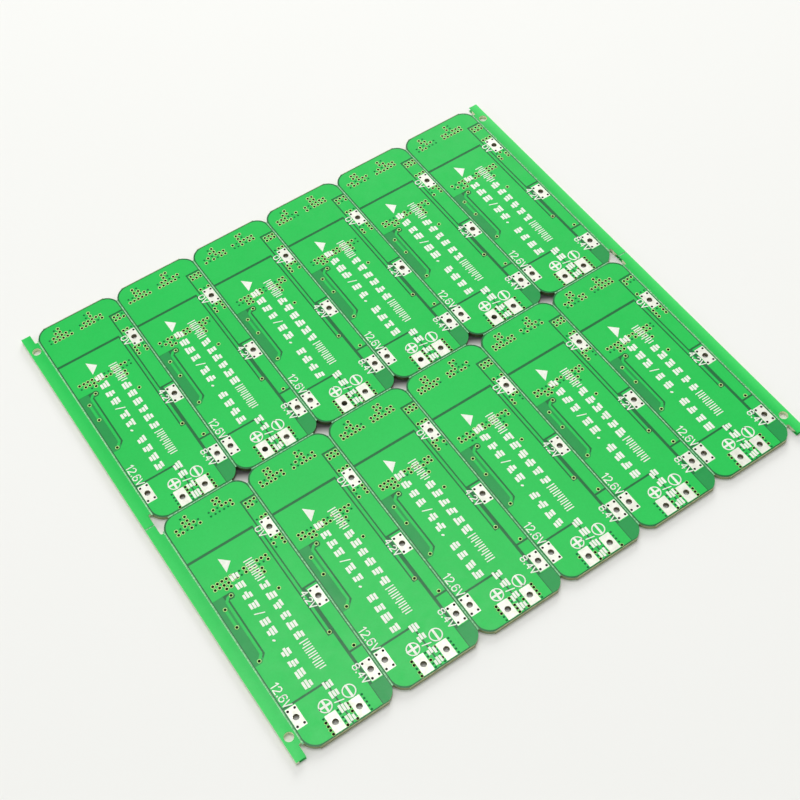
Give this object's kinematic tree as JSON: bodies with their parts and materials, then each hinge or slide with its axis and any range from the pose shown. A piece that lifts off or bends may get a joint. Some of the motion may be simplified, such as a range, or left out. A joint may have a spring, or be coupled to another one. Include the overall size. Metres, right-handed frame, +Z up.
{
  "type": "battery protection board panel",
  "caption": "Flat green circuit-board panel of bare battery protection boards joined by score lines, with tinned wire pads, plated holes and a break-away rail at each side.",
  "frame": {"origin": "on the underside, under the centre of the panel", "axes": "+X across the boards from one rail to the other, +Y along the boards towards their cell-negative end, +Z up out of the printed face"},
  "size_m": [0.126, 0.118, 0.001],
  "materials": {
    "glass_laminate": "matt glass-fibre laminate, pale at its cut edges",
    "copper_foil": "etched copper foil under the mask",
    "tinned_copper": "hot-air-levelled tin, bright and slightly uneven",
    "solder_mask": "satin green solder mask"
  },
  "bodies": {
    "root": {"base_laminate": "glass_laminate", "switch_copper": "copper_foil", "cell_negative_copper": "copper_foil", "low_tap_copper": "copper_foil", "high_tap_copper": "copper_foil", "positive_copper": "copper_foil", "output_negative_copper": "copper_foil", "sense_tracks": "copper_foil", "rail_copper": "copper_foil", "tap_terminals": "tinned_copper", "output_terminals": "tinned_copper", "top_mask": "solder_mask", "bottom_mask": "solder_mask"}
  },
  "joints": []
}
